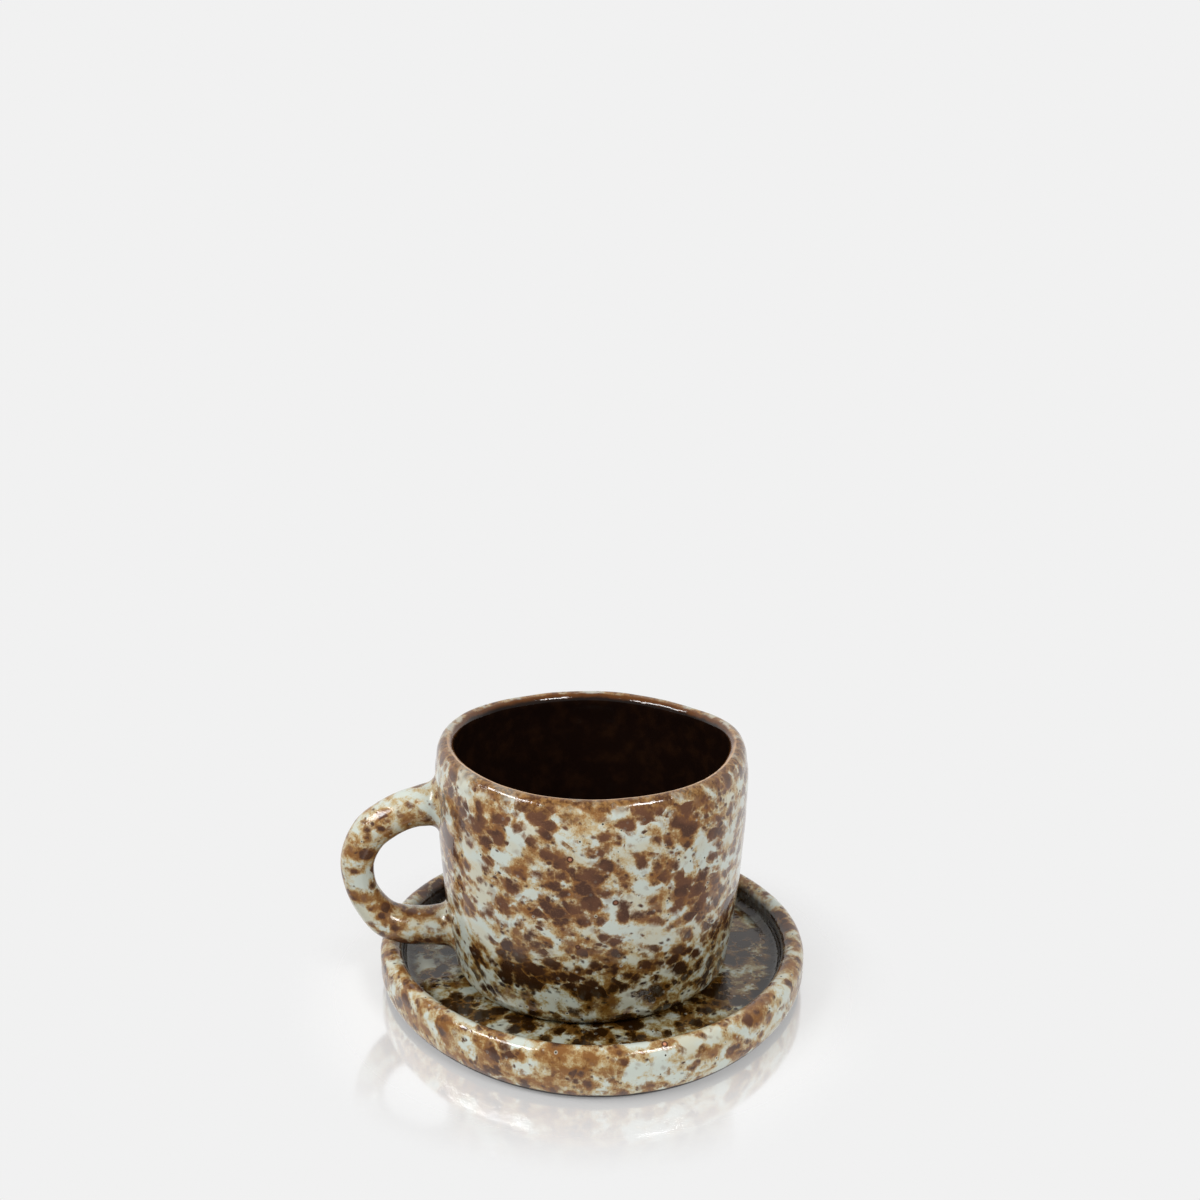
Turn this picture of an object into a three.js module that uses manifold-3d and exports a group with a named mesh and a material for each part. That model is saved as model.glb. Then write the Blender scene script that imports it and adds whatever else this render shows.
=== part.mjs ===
import * as THREE from 'three';
import { mergeVertices } from 'three/addons/utils/BufferGeometryUtils.js';
import Module from 'manifold-3d';

// A hand-built stoneware cup standing on its saucer, in millimetres, with +Z up.
// The origin is the middle of the saucer's flat underside, and the handle points towards -X.

// Saucer
const saucerRadius = 53.6; // outside of the rim, averaged round the plate
const saucerBaseRadius = 50.2; // where the flat underside ends
const saucerBaseRise = 4.8; // the underside's edge rounds up to full width over this height
const saucerHeight = 11.8; // crest of the rim over the table
const saucerFloor = 5.5; // upper face of the floor over the table
const saucerRimWall = 5.6; // thickness of the rim
const saucerCrest = 3.7; // how much of the rim's top is rounded
const saucerCorner = 2.2; // fillet between the floor and the rim

// Cup body, heights from the face it stands on
const cupHeight = 58.5; // crest of the lip
const cupFootRadius = 30.4; // flat face that the cup stands on
const cupFootRounding = 4.1; // round edge between that face and the wall
const cupWaistRadius = 36.9; // outside of the wall a third of the way up
const cupWaistShare = 0.376; // height of that place, as a share of the cup's height
const cupBellyRadius = 38.5; // outside of the wall at its widest
const cupBellyShare = 0.803; // height of that place
const cupLipRadius = 38; // outside of the wall where the lip begins to round
const cupLipOuterRise = 4.4; // the outside rounds in to the crest over this height
const cupLipInnerRise = 2.6; // and the inside over this one
const cupLipOuterWidth = 2.5; // from the outside of the lip in to its crest
const cupWall = 4.5;
const cupFloor = 5; // thickness of the bottom
const cupInnerCorner = 8; // fillet between the wall and the bottom, inside

// The cup stands a little off the middle of the saucer
const cupOffsetX = -0.5;
const cupOffsetY = -0.9;
const seatGap = 0.3; // between the cup's foot and the saucer's floor
const jointGap = 0.3; // between the handle's cut ends and the cup's wall

// Handle, a round coil of clay bent in one upright plane and pressed onto the wall at both ends
const handleTurn = 187; // direction of that plane from +X, in degrees
const handleReach = 57.7; // from the cup's axis to the middle of the coil at its furthest
const handleRoot = 33; // where the coil's middle line starts and ends, inside the wall
const handleTopShare = 0.752; // height of the upper joint's middle, as a share of the cup's
const handleLowShare = 0.176; // height of the lower joint's middle
const coilEndThickness = 9.4; // in the plane of the handle
const coilMidThickness = 7.5;
const coilEndWidth = 10; // across that plane
const coilMidWidth = 8.8;
const coilFlare = 2.6; // how much wider the coil spreads where it meets the wall
const coilFlareLength = 5;

// The middle line of the coil: how far out towards the reach, and how far down from the
// upper joint towards the lower one
const handleShares = [
  [0, 0],
  [0.34, 0.03],
  [0.51, 0.06],
  [0.7, 0.125],
  [0.88, 0.23],
  [1, 0.43],
  [0.98, 0.64],
  [0.88, 0.8],
  [0.74, 0.92],
  [0.53, 0.98],
  [0, 1],
];
const coilThinnestShare = 0.57; // how far along the coil it is thinnest
const coilThinningShare = 0.27; // and how far to either side of that it is at its full size

// How far the hand-made forms are out of round, as lobes round the piece, a share of the
// radius or height, and the direction of the first lobe in degrees from +X
const cupTopPlanShares = [
  { lobes: 2, share: 0.0032, toward: -40 },
  { lobes: 3, share: 0.0047, toward: 28 },
  { lobes: 5, share: 0.0076, toward: 19 },
];
const cupFootPlanShares = [
  { lobes: 2, share: 0.0064, toward: 42 },
  { lobes: 3, share: 0.0095, toward: -17 },
];
const cupLipHeightShares = [
  { lobes: 1, share: 0.0055, toward: -173 },
  { lobes: 2, share: 0.0061, toward: -6 },
  { lobes: 3, share: 0.0029, toward: -13 },
  { lobes: 5, share: 0.0026, toward: 7 },
];
const saucerPlanShares = [
  { lobes: 2, share: 0.0073, toward: -66 },
  { lobes: 3, share: 0.0103, toward: 37 },
  { lobes: 4, share: 0.0094, toward: 2 },
];
const saucerHeightShares = [
  { lobes: 2, share: 0.042, toward: -87 },
  { lobes: 3, share: 0.026, toward: 34 },
];

// How finely the round forms are cut
const stepsAround = 80;
const stepsOnCorner = 4;
const stepsOnWall = 7;
const stepsOnCrest = 8;
const stepsAlongHandle = 40;
const stepsAroundCoil = 18;
const samePlace = 0.001; // corners of a profile closer than this are one

const cupWaistHeight = cupHeight * cupWaistShare;
const cupBellyHeight = cupHeight * cupBellyShare;
const handleTopHeight = cupHeight * handleTopShare;
const handleLowHeight = cupHeight * handleLowShare;

const wasm = await Module();
wasm.setup();

function waves(shares, angle) {
  let sum = 0;
  for (const { lobes, share, toward } of shares) {
    sum += share * Math.cos(lobes * (angle - THREE.MathUtils.degToRad(toward)));
  }
  return sum;
}

function arc(middleX, middleY, radiusX, radiusY, from, to) {
  const steps = Math.abs(to - from) > 90 ? stepsOnCrest : stepsOnCorner;
  const start = THREE.MathUtils.degToRad(from);
  const end = THREE.MathUtils.degToRad(to);
  const curve = new THREE.EllipseCurve(middleX, middleY, radiusX, radiusY, start, end, to < from);
  return curve.getPoints(steps);
}

function smoothWall(places) {
  return new THREE.SplineCurve(places.map(([x, y]) => new THREE.Vector2(x, y))).getPoints(stepsOnWall);
}

// Stretches of a profile laid end to end, with each shared end kept once
function profileFrom(...stretches) {
  const profile = [];
  for (const place of stretches.flat()) {
    const last = profile[profile.length - 1];
    if (!last || last.distanceTo(place) > samePlace) {
      profile.push(place);
    }
  }
  return profile;
}

// Shared corners merged and flattened triangles dropped, so that the surface is closed
function closedGeometry(geometry) {
  geometry.deleteAttribute('normal');
  geometry.deleteAttribute('uv');
  const merged = mergeVertices(geometry);
  const corners = merged.index.array;
  const kept = [];
  for (let i = 0; i < corners.length; i += 3) {
    const [a, b, c] = [corners[i], corners[i + 1], corners[i + 2]];
    if (a !== b && b !== c && c !== a) {
      kept.push(a, b, c);
    }
  }
  merged.setIndex(kept);
  merged.computeVertexNormals();
  return merged;
}

// A form turned from its profile, stood on Z, then pressed out of round:
// press gives the share that a place moves outwards and the length that it rises
function handTurned(profile, press) {
  const geometry = new THREE.LatheGeometry(profile, stepsAround);
  geometry.rotateX(Math.PI / 2);
  const places = geometry.attributes.position;
  for (let i = 0; i < places.count; i += 1) {
    const [x, y, z] = [places.getX(i), places.getY(i), places.getZ(i)];
    const { outward, rise } = press(Math.atan2(y, x), z);
    places.setXYZ(i, x * (1 + outward), y * (1 + outward), z + rise);
  }
  return closedGeometry(geometry);
}

function pressCup(angle, height) {
  const up = THREE.MathUtils.clamp(height / cupHeight, 0, 1);
  const aboveFloor = THREE.MathUtils.clamp((height - cupFloor) / (cupHeight - cupFloor), 0, 1);
  return {
    outward: THREE.MathUtils.lerp(waves(cupFootPlanShares, angle), waves(cupTopPlanShares, angle), up),
    rise: cupHeight * waves(cupLipHeightShares, angle) * aboveFloor ** 2,
  };
}

function pressSaucer(angle, height) {
  const aboveFloor = THREE.MathUtils.clamp((height - saucerFloor) / (saucerHeight - saucerFloor), 0, 1);
  return {
    outward: waves(saucerPlanShares, angle),
    rise: saucerHeight * waves(saucerHeightShares, angle) * aboveFloor ** 2,
  };
}

// Outside of the cup from the middle of its foot to where the lip rounds in, grown by an offset
function cupOutside(offset) {
  const rounding = cupFootRounding + offset;
  const shoulder = cupHeight - cupLipOuterRise;
  return [
    new THREE.Vector2(0, -offset),
    ...arc(cupFootRadius, cupFootRounding, rounding, rounding, -90, 0),
    ...smoothWall([
      [cupFootRadius + rounding, cupFootRounding],
      [cupWaistRadius + offset, cupWaistHeight],
      [cupBellyRadius + offset, cupBellyHeight],
      [cupLipRadius + offset, shoulder],
    ]),
  ];
}

function cupBodyGeometry() {
  const crestRadius = cupLipRadius - cupLipOuterWidth;
  const innerWidth = cupWall - cupLipOuterWidth;
  const outerStart = cupHeight - cupLipOuterRise;
  const innerStart = cupHeight - cupLipInnerRise;
  const innerFootRadius = cupFootRadius + cupFootRounding - cupWall;
  const cornerTop = cupFloor + cupInnerCorner;
  const lipOutside = arc(crestRadius, outerStart, cupLipOuterWidth, cupLipOuterRise, 0, 90);
  const lipInside = arc(crestRadius, innerStart, innerWidth, cupLipInnerRise, 90, 180);
  const inside = smoothWall([
    [cupLipRadius - cupWall, innerStart],
    [cupBellyRadius - cupWall, cupBellyHeight],
    [cupWaistRadius - cupWall, cupWaistHeight],
    [innerFootRadius, cornerTop],
  ]);
  const cornerMiddle = innerFootRadius - cupInnerCorner;
  const corner = arc(cornerMiddle, cornerTop, cupInnerCorner, cupInnerCorner, 0, -90);
  const bottom = [new THREE.Vector2(0, cupFloor)];
  const profile = profileFrom(cupOutside(0), lipOutside, lipInside, inside, corner, bottom);
  return handTurned(profile, pressCup);
}

function saucerGeometry() {
  const crestStart = saucerHeight - saucerCrest;
  const halfWall = saucerRimWall / 2;
  const wellRadius = saucerRadius - saucerRimWall;
  const edge = saucerRadius - saucerBaseRadius;
  const middle = [new THREE.Vector2(0, 0)];
  const base = arc(saucerBaseRadius, saucerBaseRise, edge, saucerBaseRise, -90, 0);
  const crest = arc(saucerRadius - halfWall, crestStart, halfWall, saucerCrest, 0, 180);
  const cornerTop = saucerFloor + saucerCorner;
  const corner = arc(wellRadius - saucerCorner, cornerTop, saucerCorner, saucerCorner, 0, -90);
  const well = [new THREE.Vector2(0, saucerFloor)];
  return handTurned(profileFrom(middle, base, crest, corner, well), pressSaucer);
}

// Outside radius of the wall before it is pressed out of round
function wallRadiusAt(height) {
  const profile = cupOutside(0);
  const above = profile.findIndex((place) => place.y >= height);
  const [low, high] = [profile[above - 1], profile[above]];
  return THREE.MathUtils.mapLinear(height, low.y, high.y, low.x, high.x);
}

// The coil's thickness in the handle's plane and its width across it, at a share of its length
function coilSize(along, length) {
  const fromThinnest = Math.abs(along - coilThinnestShare);
  const fullness = THREE.MathUtils.smoothstep(fromThinnest, 0, coilThinningShare);
  const fromTopJoint = along * length - (wallRadiusAt(handleTopHeight) - handleRoot);
  const fromLowJoint = (1 - along) * length - (wallRadiusAt(handleLowHeight) - handleRoot);
  const fromWall = Math.min(fromTopJoint, fromLowJoint);
  const flare = coilFlare * (1 - THREE.MathUtils.smoothstep(fromWall, 0, coilFlareLength));
  return {
    thickness: THREE.MathUtils.lerp(coilMidThickness, coilEndThickness, fullness) + flare,
    width: THREE.MathUtils.lerp(coilMidWidth, coilEndWidth, fullness) + flare,
  };
}

function coilGeometry() {
  const turn = THREE.MathUtils.degToRad(handleTurn);
  const outward = new THREE.Vector3(Math.cos(turn), Math.sin(turn), 0);
  const across = new THREE.Vector3(-outward.y, outward.x, 0);
  const middleLine = new THREE.CatmullRomCurve3(handleShares.map(([out, down]) => {
    const radius = THREE.MathUtils.lerp(handleRoot, handleReach, out);
    const height = THREE.MathUtils.lerp(handleTopHeight, handleLowHeight, down);
    return outward.clone().multiplyScalar(radius).setZ(height);
  }));
  const length = middleLine.getLength();
  const corners = [];
  for (let i = 0; i <= stepsAlongHandle; i += 1) {
    const along = i / stepsAlongHandle;
    const { thickness, width } = coilSize(along, length);
    const place = middleLine.getPointAt(along);
    const outOfCoil = across.clone().cross(middleLine.getTangentAt(along));
    for (let j = 0; j < stepsAroundCoil; j += 1) {
      const angle = 2 * Math.PI * j / stepsAroundCoil;
      const corner = place.clone();
      corner.addScaledVector(outOfCoil, Math.cos(angle) * thickness / 2);
      corner.addScaledVector(across, Math.sin(angle) * width / 2);
      corners.push(...corner);
    }
  }
  const startMiddle = (stepsAlongHandle + 1) * stepsAroundCoil;
  const endMiddle = startMiddle + 1;
  corners.push(...middleLine.getPointAt(0), ...middleLine.getPointAt(1));
  const faces = [];
  for (let j = 0; j < stepsAroundCoil; j += 1) {
    const next = (j + 1) % stepsAroundCoil;
    const lastRing = stepsAlongHandle * stepsAroundCoil;
    faces.push(startMiddle, next, j);
    faces.push(endMiddle, lastRing + j, lastRing + next);
    for (let i = 0; i < stepsAlongHandle; i += 1) {
      const ring = i * stepsAroundCoil;
      const nextRing = ring + stepsAroundCoil;
      faces.push(ring + j, ring + next, nextRing + next);
      faces.push(ring + j, nextRing + next, nextRing + j);
    }
  }
  const geometry = new THREE.BufferGeometry();
  geometry.setAttribute('position', new THREE.Float32BufferAttribute(corners, 3));
  geometry.setIndex(faces);
  return geometry;
}

function toSolid(geometry) {
  return new wasm.Manifold(new wasm.Mesh({
    numProp: 3,
    vertProperties: new Float32Array(geometry.attributes.position.array),
    triVerts: new Uint32Array(geometry.index.array),
  }));
}

function toGeometry(solid) {
  const mesh = solid.getMesh();
  const geometry = new THREE.BufferGeometry();
  geometry.setAttribute('position', new THREE.BufferAttribute(mesh.vertProperties, 3));
  geometry.setIndex(new THREE.BufferAttribute(mesh.triVerts, 1));
  geometry.computeVertexNormals();
  return geometry;
}

// The coil trimmed to the outside of the wall, so that its ends follow the cup's own curve
function handleGeometry() {
  const top = [new THREE.Vector2(0, cupHeight)];
  const wallForm = handTurned(profileFrom(cupOutside(jointGap), top), pressCup);
  return toGeometry(toSolid(coilGeometry()).subtract(toSolid(wallForm)));
}

function glazed(name, geometry, colour) {
  const material = new THREE.MeshStandardMaterial({ color: colour, roughness: 0.25, metalness: 0 });
  const mesh = new THREE.Mesh(geometry, material);
  mesh.name = name;
  return mesh;
}

const cup = new THREE.Group();
cup.position.set(cupOffsetX, cupOffsetY, saucerFloor + seatGap);
cup.add(glazed('cup_body', cupBodyGeometry(), '#a08a72'));
cup.add(glazed('cup_handle', handleGeometry(), '#ad9c86'));

const group = new THREE.Group();
group.add(glazed('saucer', saucerGeometry(), '#97836b'));
group.add(cup);

export default group;
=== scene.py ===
import math

import bmesh
import bpy
import numpy as np
from mathutils import Matrix, Vector, noise


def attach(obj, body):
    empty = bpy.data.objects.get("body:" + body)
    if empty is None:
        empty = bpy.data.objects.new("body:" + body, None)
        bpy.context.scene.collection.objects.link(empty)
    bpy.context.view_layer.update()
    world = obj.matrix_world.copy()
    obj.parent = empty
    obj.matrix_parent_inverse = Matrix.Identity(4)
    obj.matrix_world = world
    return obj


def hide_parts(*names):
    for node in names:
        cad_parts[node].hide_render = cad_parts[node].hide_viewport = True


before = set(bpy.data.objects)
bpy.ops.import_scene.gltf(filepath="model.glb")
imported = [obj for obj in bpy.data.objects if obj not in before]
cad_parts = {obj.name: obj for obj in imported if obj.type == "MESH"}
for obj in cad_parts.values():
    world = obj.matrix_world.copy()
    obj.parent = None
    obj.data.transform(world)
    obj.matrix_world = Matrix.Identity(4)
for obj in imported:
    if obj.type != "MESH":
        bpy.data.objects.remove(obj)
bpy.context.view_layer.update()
print("packed solids:", ", ".join(sorted(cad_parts)))

mm = 0.001
sameSpot = 0.001  # millimetres, under which two corners are one


def addObject(name, data):
    thing = bpy.data.objects.new(name, data)
    bpy.context.scene.collection.objects.link(thing)
    return thing


# A colour as a painter writes it, in the linear values that a socket takes
def paint(code):
    shares = [int(code[i:i + 2], 16) / 255 for i in (1, 3, 5)]
    linear = [s / 12.92 if s <= 0.04045 else ((s + 0.055) / 1.055) ** 2.4 for s in shares]
    return (*linear, 1)


# Node building, shared by the shape trees and the finishes

def addNode(tree, kind, inputs=(), **settings):
    node = tree.nodes.new(kind)
    for name, value in settings.items():
        setattr(node, name, value)
    for socket, value in dict(inputs).items():
        if isinstance(value, bpy.types.NodeSocket):
            tree.links.new(value, node.inputs[socket])
        else:
            node.inputs[socket].default_value = value
    return node


# A new node's first output
def outFrom(tree, kind, inputs=(), **settings):
    return addNode(tree, kind, inputs, **settings).outputs[0]


def calc(tree, operation, *values, clamp=False):
    return outFrom(tree, "ShaderNodeMath", enumerate(values), operation=operation, use_clamp=clamp)


def vectorCalc(tree, operation, first, second=(0, 0, 0), scale=1):
    inputs = {0: first, 1: second} if operation != "SCALE" else {0: first, 3: scale}
    return outFrom(tree, "ShaderNodeVectorMath", inputs, operation=operation)


def fade(tree, value, low, high):
    inputs = {0: value, 1: low, 2: high}
    return outFrom(tree, "ShaderNodeMapRange", inputs, interpolation_type="SMOOTHSTEP")


# Each colour is an output, or a name from the glaze colours
def mix(tree, factor, first, second):
    first, second = (paint(colours[c]) if isinstance(c, str) else c for c in (first, second))
    inputs = {0: factor, 6: first, 7: second}
    return addNode(tree, "ShaderNodeMix", inputs, data_type="RGBA").outputs[2]


def cloud(tree, vector, scale, detail=2, roughness=0.5, output=0):
    inputs = {"Vector": vector, "Scale": scale, "Detail": detail, "Roughness": roughness}
    return addNode(tree, "ShaderNodeTexNoise", inputs).outputs[output]


# A cloud that swings between -0.5 and 0.5
def swing(tree, vector, scale, detail=2, roughness=0.5):
    return calc(tree, "SUBTRACT", cloud(tree, vector, scale, detail, roughness), 0.5)


def inverse(tree, value):
    return calc(tree, "SUBTRACT", 1, value)


def product(tree, first, second):
    return calc(tree, "MULTIPLY", first, second)


def parts(tree, vector):
    return addNode(tree, "ShaderNodeSeparateXYZ", {0: vector}).outputs


def mixShader(tree, factor, first, second):
    return outFrom(tree, "ShaderNodeMixShader", {0: factor, 1: first, 2: second})


def makeTree(name, kind, inputs, outputs):
    tree = bpy.data.node_groups.new(name, kind)
    for side, sockets in (("INPUT", inputs), ("OUTPUT", outputs)):
        for label, (sort, value) in sockets.items():
            sort = "NodeSocket" + sort
            socket = tree.interface.new_socket(name=label, in_out=side, socket_type=sort)
            if value is not None:
                socket.default_value = value
    tree.nodes.new("NodeGroupInput")
    tree.nodes.new("NodeGroupOutput")
    return tree, tree.nodes["Group Input"].outputs, tree.nodes["Group Output"].inputs


def placeGroup(tree, group, inputs):
    return addNode(tree, "ShaderNodeGroup", inputs, node_tree=group).outputs


# Outlines, as (radius, height) in millimetres

def arc(middleX, middleY, radiusX, radiusY, start, end, steps):
    turn = np.radians(np.linspace(start, end, steps + 1))
    return np.stack([middleX + radiusX * np.cos(turn), middleY + radiusY * np.sin(turn)], 1)


def straight(start, end, steps):
    share = np.linspace(0, 1, steps + 1)[:, None]
    return np.array(start) * (1 - share) + np.array(end) * share


# A point on the smooth curve between two places, from its directions at both
def curvePoint(start, end, leave, arrive, share):
    return ((2 * start - 2 * end + leave + arrive) * share ** 3
            + (3 * end - 3 * start - 2 * leave - arrive) * share ** 2 + leave * share + start)


# A smooth line through a few places, evenly timed from one to the next
def smoothLine(places, steps):
    places = np.array(places, float)
    last = len(places) - 1
    line = []
    for time in np.linspace(0, last, steps + 1):
        i = min(int(time), last - 1)
        before, start, end, after = places[[max(i - 1, 0), i, i + 1, min(i + 2, last)]]
        line.append(curvePoint(start, end, (end - before) / 2, (after - start) / 2, time - i))
    return np.array(line)


def joined(*stretches):
    line = np.concatenate(stretches)
    return line[np.append(True, np.hypot(*np.diff(line, axis=0).T) > sameSpot)]


def runAlong(line):
    return np.append(0, np.cumsum(np.hypot(*np.diff(line, axis=0).T)))


# An outline with the way of each place from the crest, in metres and below 0 outside, and how
# strongly the dents show there
def measured(profile, outside, inside):
    run = runAlong(profile)
    crest = np.argmax(profile[:, 1])
    relief = np.where(np.arange(len(profile)) < crest, outside, inside)
    return profile, (run - run[crest]) * mm, relief


def waves(lobes, angle):
    return sum(share * np.cos(count * (angle - math.radians(toward)))
               for count, share, toward in lobes)


# The shape tree: a turned profile, pressed out of round by hand, with soft dents in its faces

def lobeSum(tree, lobes, angle):
    total = 0.0
    for count, share, toward in lobes:
        phase = calc(tree, "MULTIPLY_ADD", angle, count, -count * math.radians(toward))
        total = calc(tree, "MULTIPLY_ADD", calc(tree, "COSINE", phase), share, total)
    return total


def turnedTree(name, lowLobes, highLobes, riseLobes):
    inputs = {
        "Profile": ("Geometry", None), "Profile Places": ("Int", 100), "Steps Around": ("Int", 300),
        "Axis": ("Vector", (0, 0, 0)), "Height": ("Float", 1), "Floor": ("Float", 0),
        "Dent Depth": ("Float", 0), "Dent Size": ("Float", 1),
        "Ripple Depth": ("Float", 0), "Ripple Size": ("Float", 1),
        "Finish": ("Material", None),
    }
    outputs = {"Turned Piece": ("Geometry", None)}
    tree, given, result = makeTree(name, "GeometryNodeTree", inputs, outputs)
    columns = calc(tree, "ADD", given["Steps Around"], 1)
    grid = addNode(tree, "GeometryNodeMeshGrid",
                   {"Vertices X": columns, "Vertices Y": given["Profile Places"]})
    index = outFrom(tree, "GeometryNodeInputIndex")
    row = calc(tree, "MODULO", index, given["Profile Places"])
    column = calc(tree, "FLOOR", calc(tree, "DIVIDE", index, given["Profile Places"]))
    turn = calc(tree, "DIVIDE", column, given["Steps Around"])
    angle = product(tree, turn, 2 * math.pi)

    def fromProfile(value, sort):
        inputs = {"Geometry": given["Profile"], "Value": value, "Index": row}
        return outFrom(tree, "GeometryNodeSampleIndex", inputs, data_type=sort)

    def named(label):
        kind = "GeometryNodeInputNamedAttribute"
        return outFrom(tree, kind, {"Name": label}, data_type="FLOAT")

    place = fromProfile(outFrom(tree, "GeometryNodeInputPosition"), "FLOAT_VECTOR")
    radius, _, height = parts(tree, place)
    up = calc(tree, "DIVIDE", height, given["Height"], clamp=True)
    aboveFloor = calc(tree, "DIVIDE", calc(tree, "SUBTRACT", height, given["Floor"]),
                      calc(tree, "SUBTRACT", given["Height"], given["Floor"]), clamp=True)
    low = lobeSum(tree, lowLobes, angle)
    high = lobeSum(tree, highLobes, angle)
    outward = calc(tree, "MULTIPLY_ADD", calc(tree, "SUBTRACT", high, low), up, low)
    pressed = product(tree, radius, calc(tree, "ADD", outward, 1))
    rise = product(tree, lobeSum(tree, riseLobes, angle), given["Height"])
    rise = product(tree, rise, calc(tree, "POWER", aboveFloor, 2))
    shaped = outFrom(tree, "ShaderNodeCombineXYZ", {
        0: product(tree, pressed, calc(tree, "COSINE", angle)),
        1: product(tree, pressed, calc(tree, "SINE", angle)),
        2: calc(tree, "ADD", height, rise),
    })
    shaped = vectorCalc(tree, "ADD", shaped, given["Axis"])
    form = outFrom(tree, "GeometryNodeSetPosition",
                   {"Geometry": grid.outputs[0], "Position": shaped})
    for label in ("fromCrest", "relief"):
        kept = {"Geometry": form, "Name": label, "Value": fromProfile(named(label), "FLOAT")}
        form = outFrom(tree, "GeometryNodeStoreNamedAttribute", kept,
                       data_type="FLOAT", domain="POINT")
    form = outFrom(tree, "GeometryNodeMergeByDistance",
                   {"Geometry": form, "Distance": sameSpot * mm})

    # soft dents and a finer ripple, each up to its depth in or out
    position = outFrom(tree, "GeometryNodeInputPosition")
    depth = 0.0
    for sort in ("Dent", "Ripple"):
        scale = calc(tree, "DIVIDE", 1, given[sort + " Size"])
        swell = product(tree, swing(tree, position, scale, 1), given[sort + " Depth"])
        depth = calc(tree, "MULTIPLY_ADD", swell, 2, depth)
    depth = product(tree, depth, named("relief"))
    normal = outFrom(tree, "GeometryNodeInputNormal")
    offset = vectorCalc(tree, "SCALE", normal, scale=depth)
    for kind, inputs in (("SetPosition", {"Offset": offset}), ("SetShadeSmooth", {}),
                         ("RealizeInstances", {}), ("SetMaterial", {"Material": given["Finish"]})):
        form = outFrom(tree, "GeometryNode" + kind, {"Geometry": form, **inputs})
    tree.links.new(form, result[0])
    return tree


def keepNumbers(mesh, label, numbers):
    field = mesh.attributes.new(label, "FLOAT", "POINT")
    field.data.foreach_set("value", numbers.astype(np.float32))


# A shape tree's inputs from a piece's sizes
def treeValues(sizes, finish):
    lengths = {"Height": "height", "Floor": "floor", "Dent Depth": "dentDepth", "Dent Size": "dentSize",
               "Ripple Depth": "rippleDepth", "Ripple Size": "rippleSize"}
    return {"Steps Around": sizes["stepsAround"], "Axis": Vector(sizes["axis"]) * mm, "Finish": finish,
            **{label: sizes[key] * mm for label, key in lengths.items()}}


# Runs a shape tree on a profile and keeps the plain mesh
def turnPiece(name, tree, outline, values):
    profile, fromCrest, relief = outline
    line = bpy.data.meshes.new(name + "Profile")
    corners = [(radius * mm, 0, height * mm) for radius, height in profile]
    line.from_pydata(corners, [(i, i + 1) for i in range(len(corners) - 1)], [])
    for label, numbers in (("fromCrest", fromCrest), ("relief", relief)):
        keepNumbers(line, label, numbers)
    source = addObject(name + "Source", line)
    modifier = source.modifiers.new("turned", "NODES")
    modifier.node_group = tree
    sockets = {item.name: item.identifier for item in tree.interface.items_tree
               if item.in_out == "INPUT"}
    modifier[sockets["Profile Places"]] = len(corners)
    for label, value in values.items():
        modifier[sockets[label]] = value
    bpy.context.view_layer.update()
    evaluated = source.evaluated_get(bpy.context.evaluated_depsgraph_get())
    mesh = bpy.data.meshes.new_from_object(evaluated)
    mesh.name = name
    bpy.data.objects.remove(source)
    print(f"{name}: {len(mesh.vertices)} corners, {len(mesh.polygons)} faces")
    return addObject(name, mesh)


# Glaze effects, used by every glazed piece

colours = {
    # the pale ground: cool, creamy, and a darker pale low on the cup that is painted shade
    "pale": "#c8cfc6", "cream": "#c8c6b3", "shadedLowPale": "#a0a595",
    # the tan wash from thin to thick and its dirt, cool and then warm; the warm ones are also darker,
    # partly painted shade
    "sand": "#c0af8b", "ochre": "#ab8858", "amber": "#8a5d33", "dirt": "#7d5a41",
    "warmSand": "#9a8d64", "warmOchre": "#7d602f", "warmAmber": "#5f3e10", "warmDirt": "#573a17",
    # the brown blots and the marks in them; the warm brown is also darker, partly painted shade
    "brown": "#66432f", "darkBrown": "#4f3427", "brownGrain": "#7f5a42", "warmBrown": "#241303",
    "speck": "#6e4c2b", "halo": "#ccd0c4", "hole": "#2f2a1a", "blister": "#4d2d1d", "core": "#c98b6b",
    # the lip, the liner and the saucer's pool, partly glaze pooled and partly painted shade
    "darkUmber": "#513014", "lightUmber": "#8d6636", "bareEdge": "#cda379", "linerEdge": "#5d3511",
    "liner": "#150b07", "linerCloud": "#22130a", "poolAndShade": "#1c1006",
    # bare clay, with a painted shade colour and a painted shadow line at the saucer's foot
    "clay": "#64503f", "clayPatch": "#7c6654", "clayGrain": "#988370", "iron": "#35251b",
    "paintedClayShade": "#2c231e", "paintedFootShadow": "#201814",
}
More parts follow.
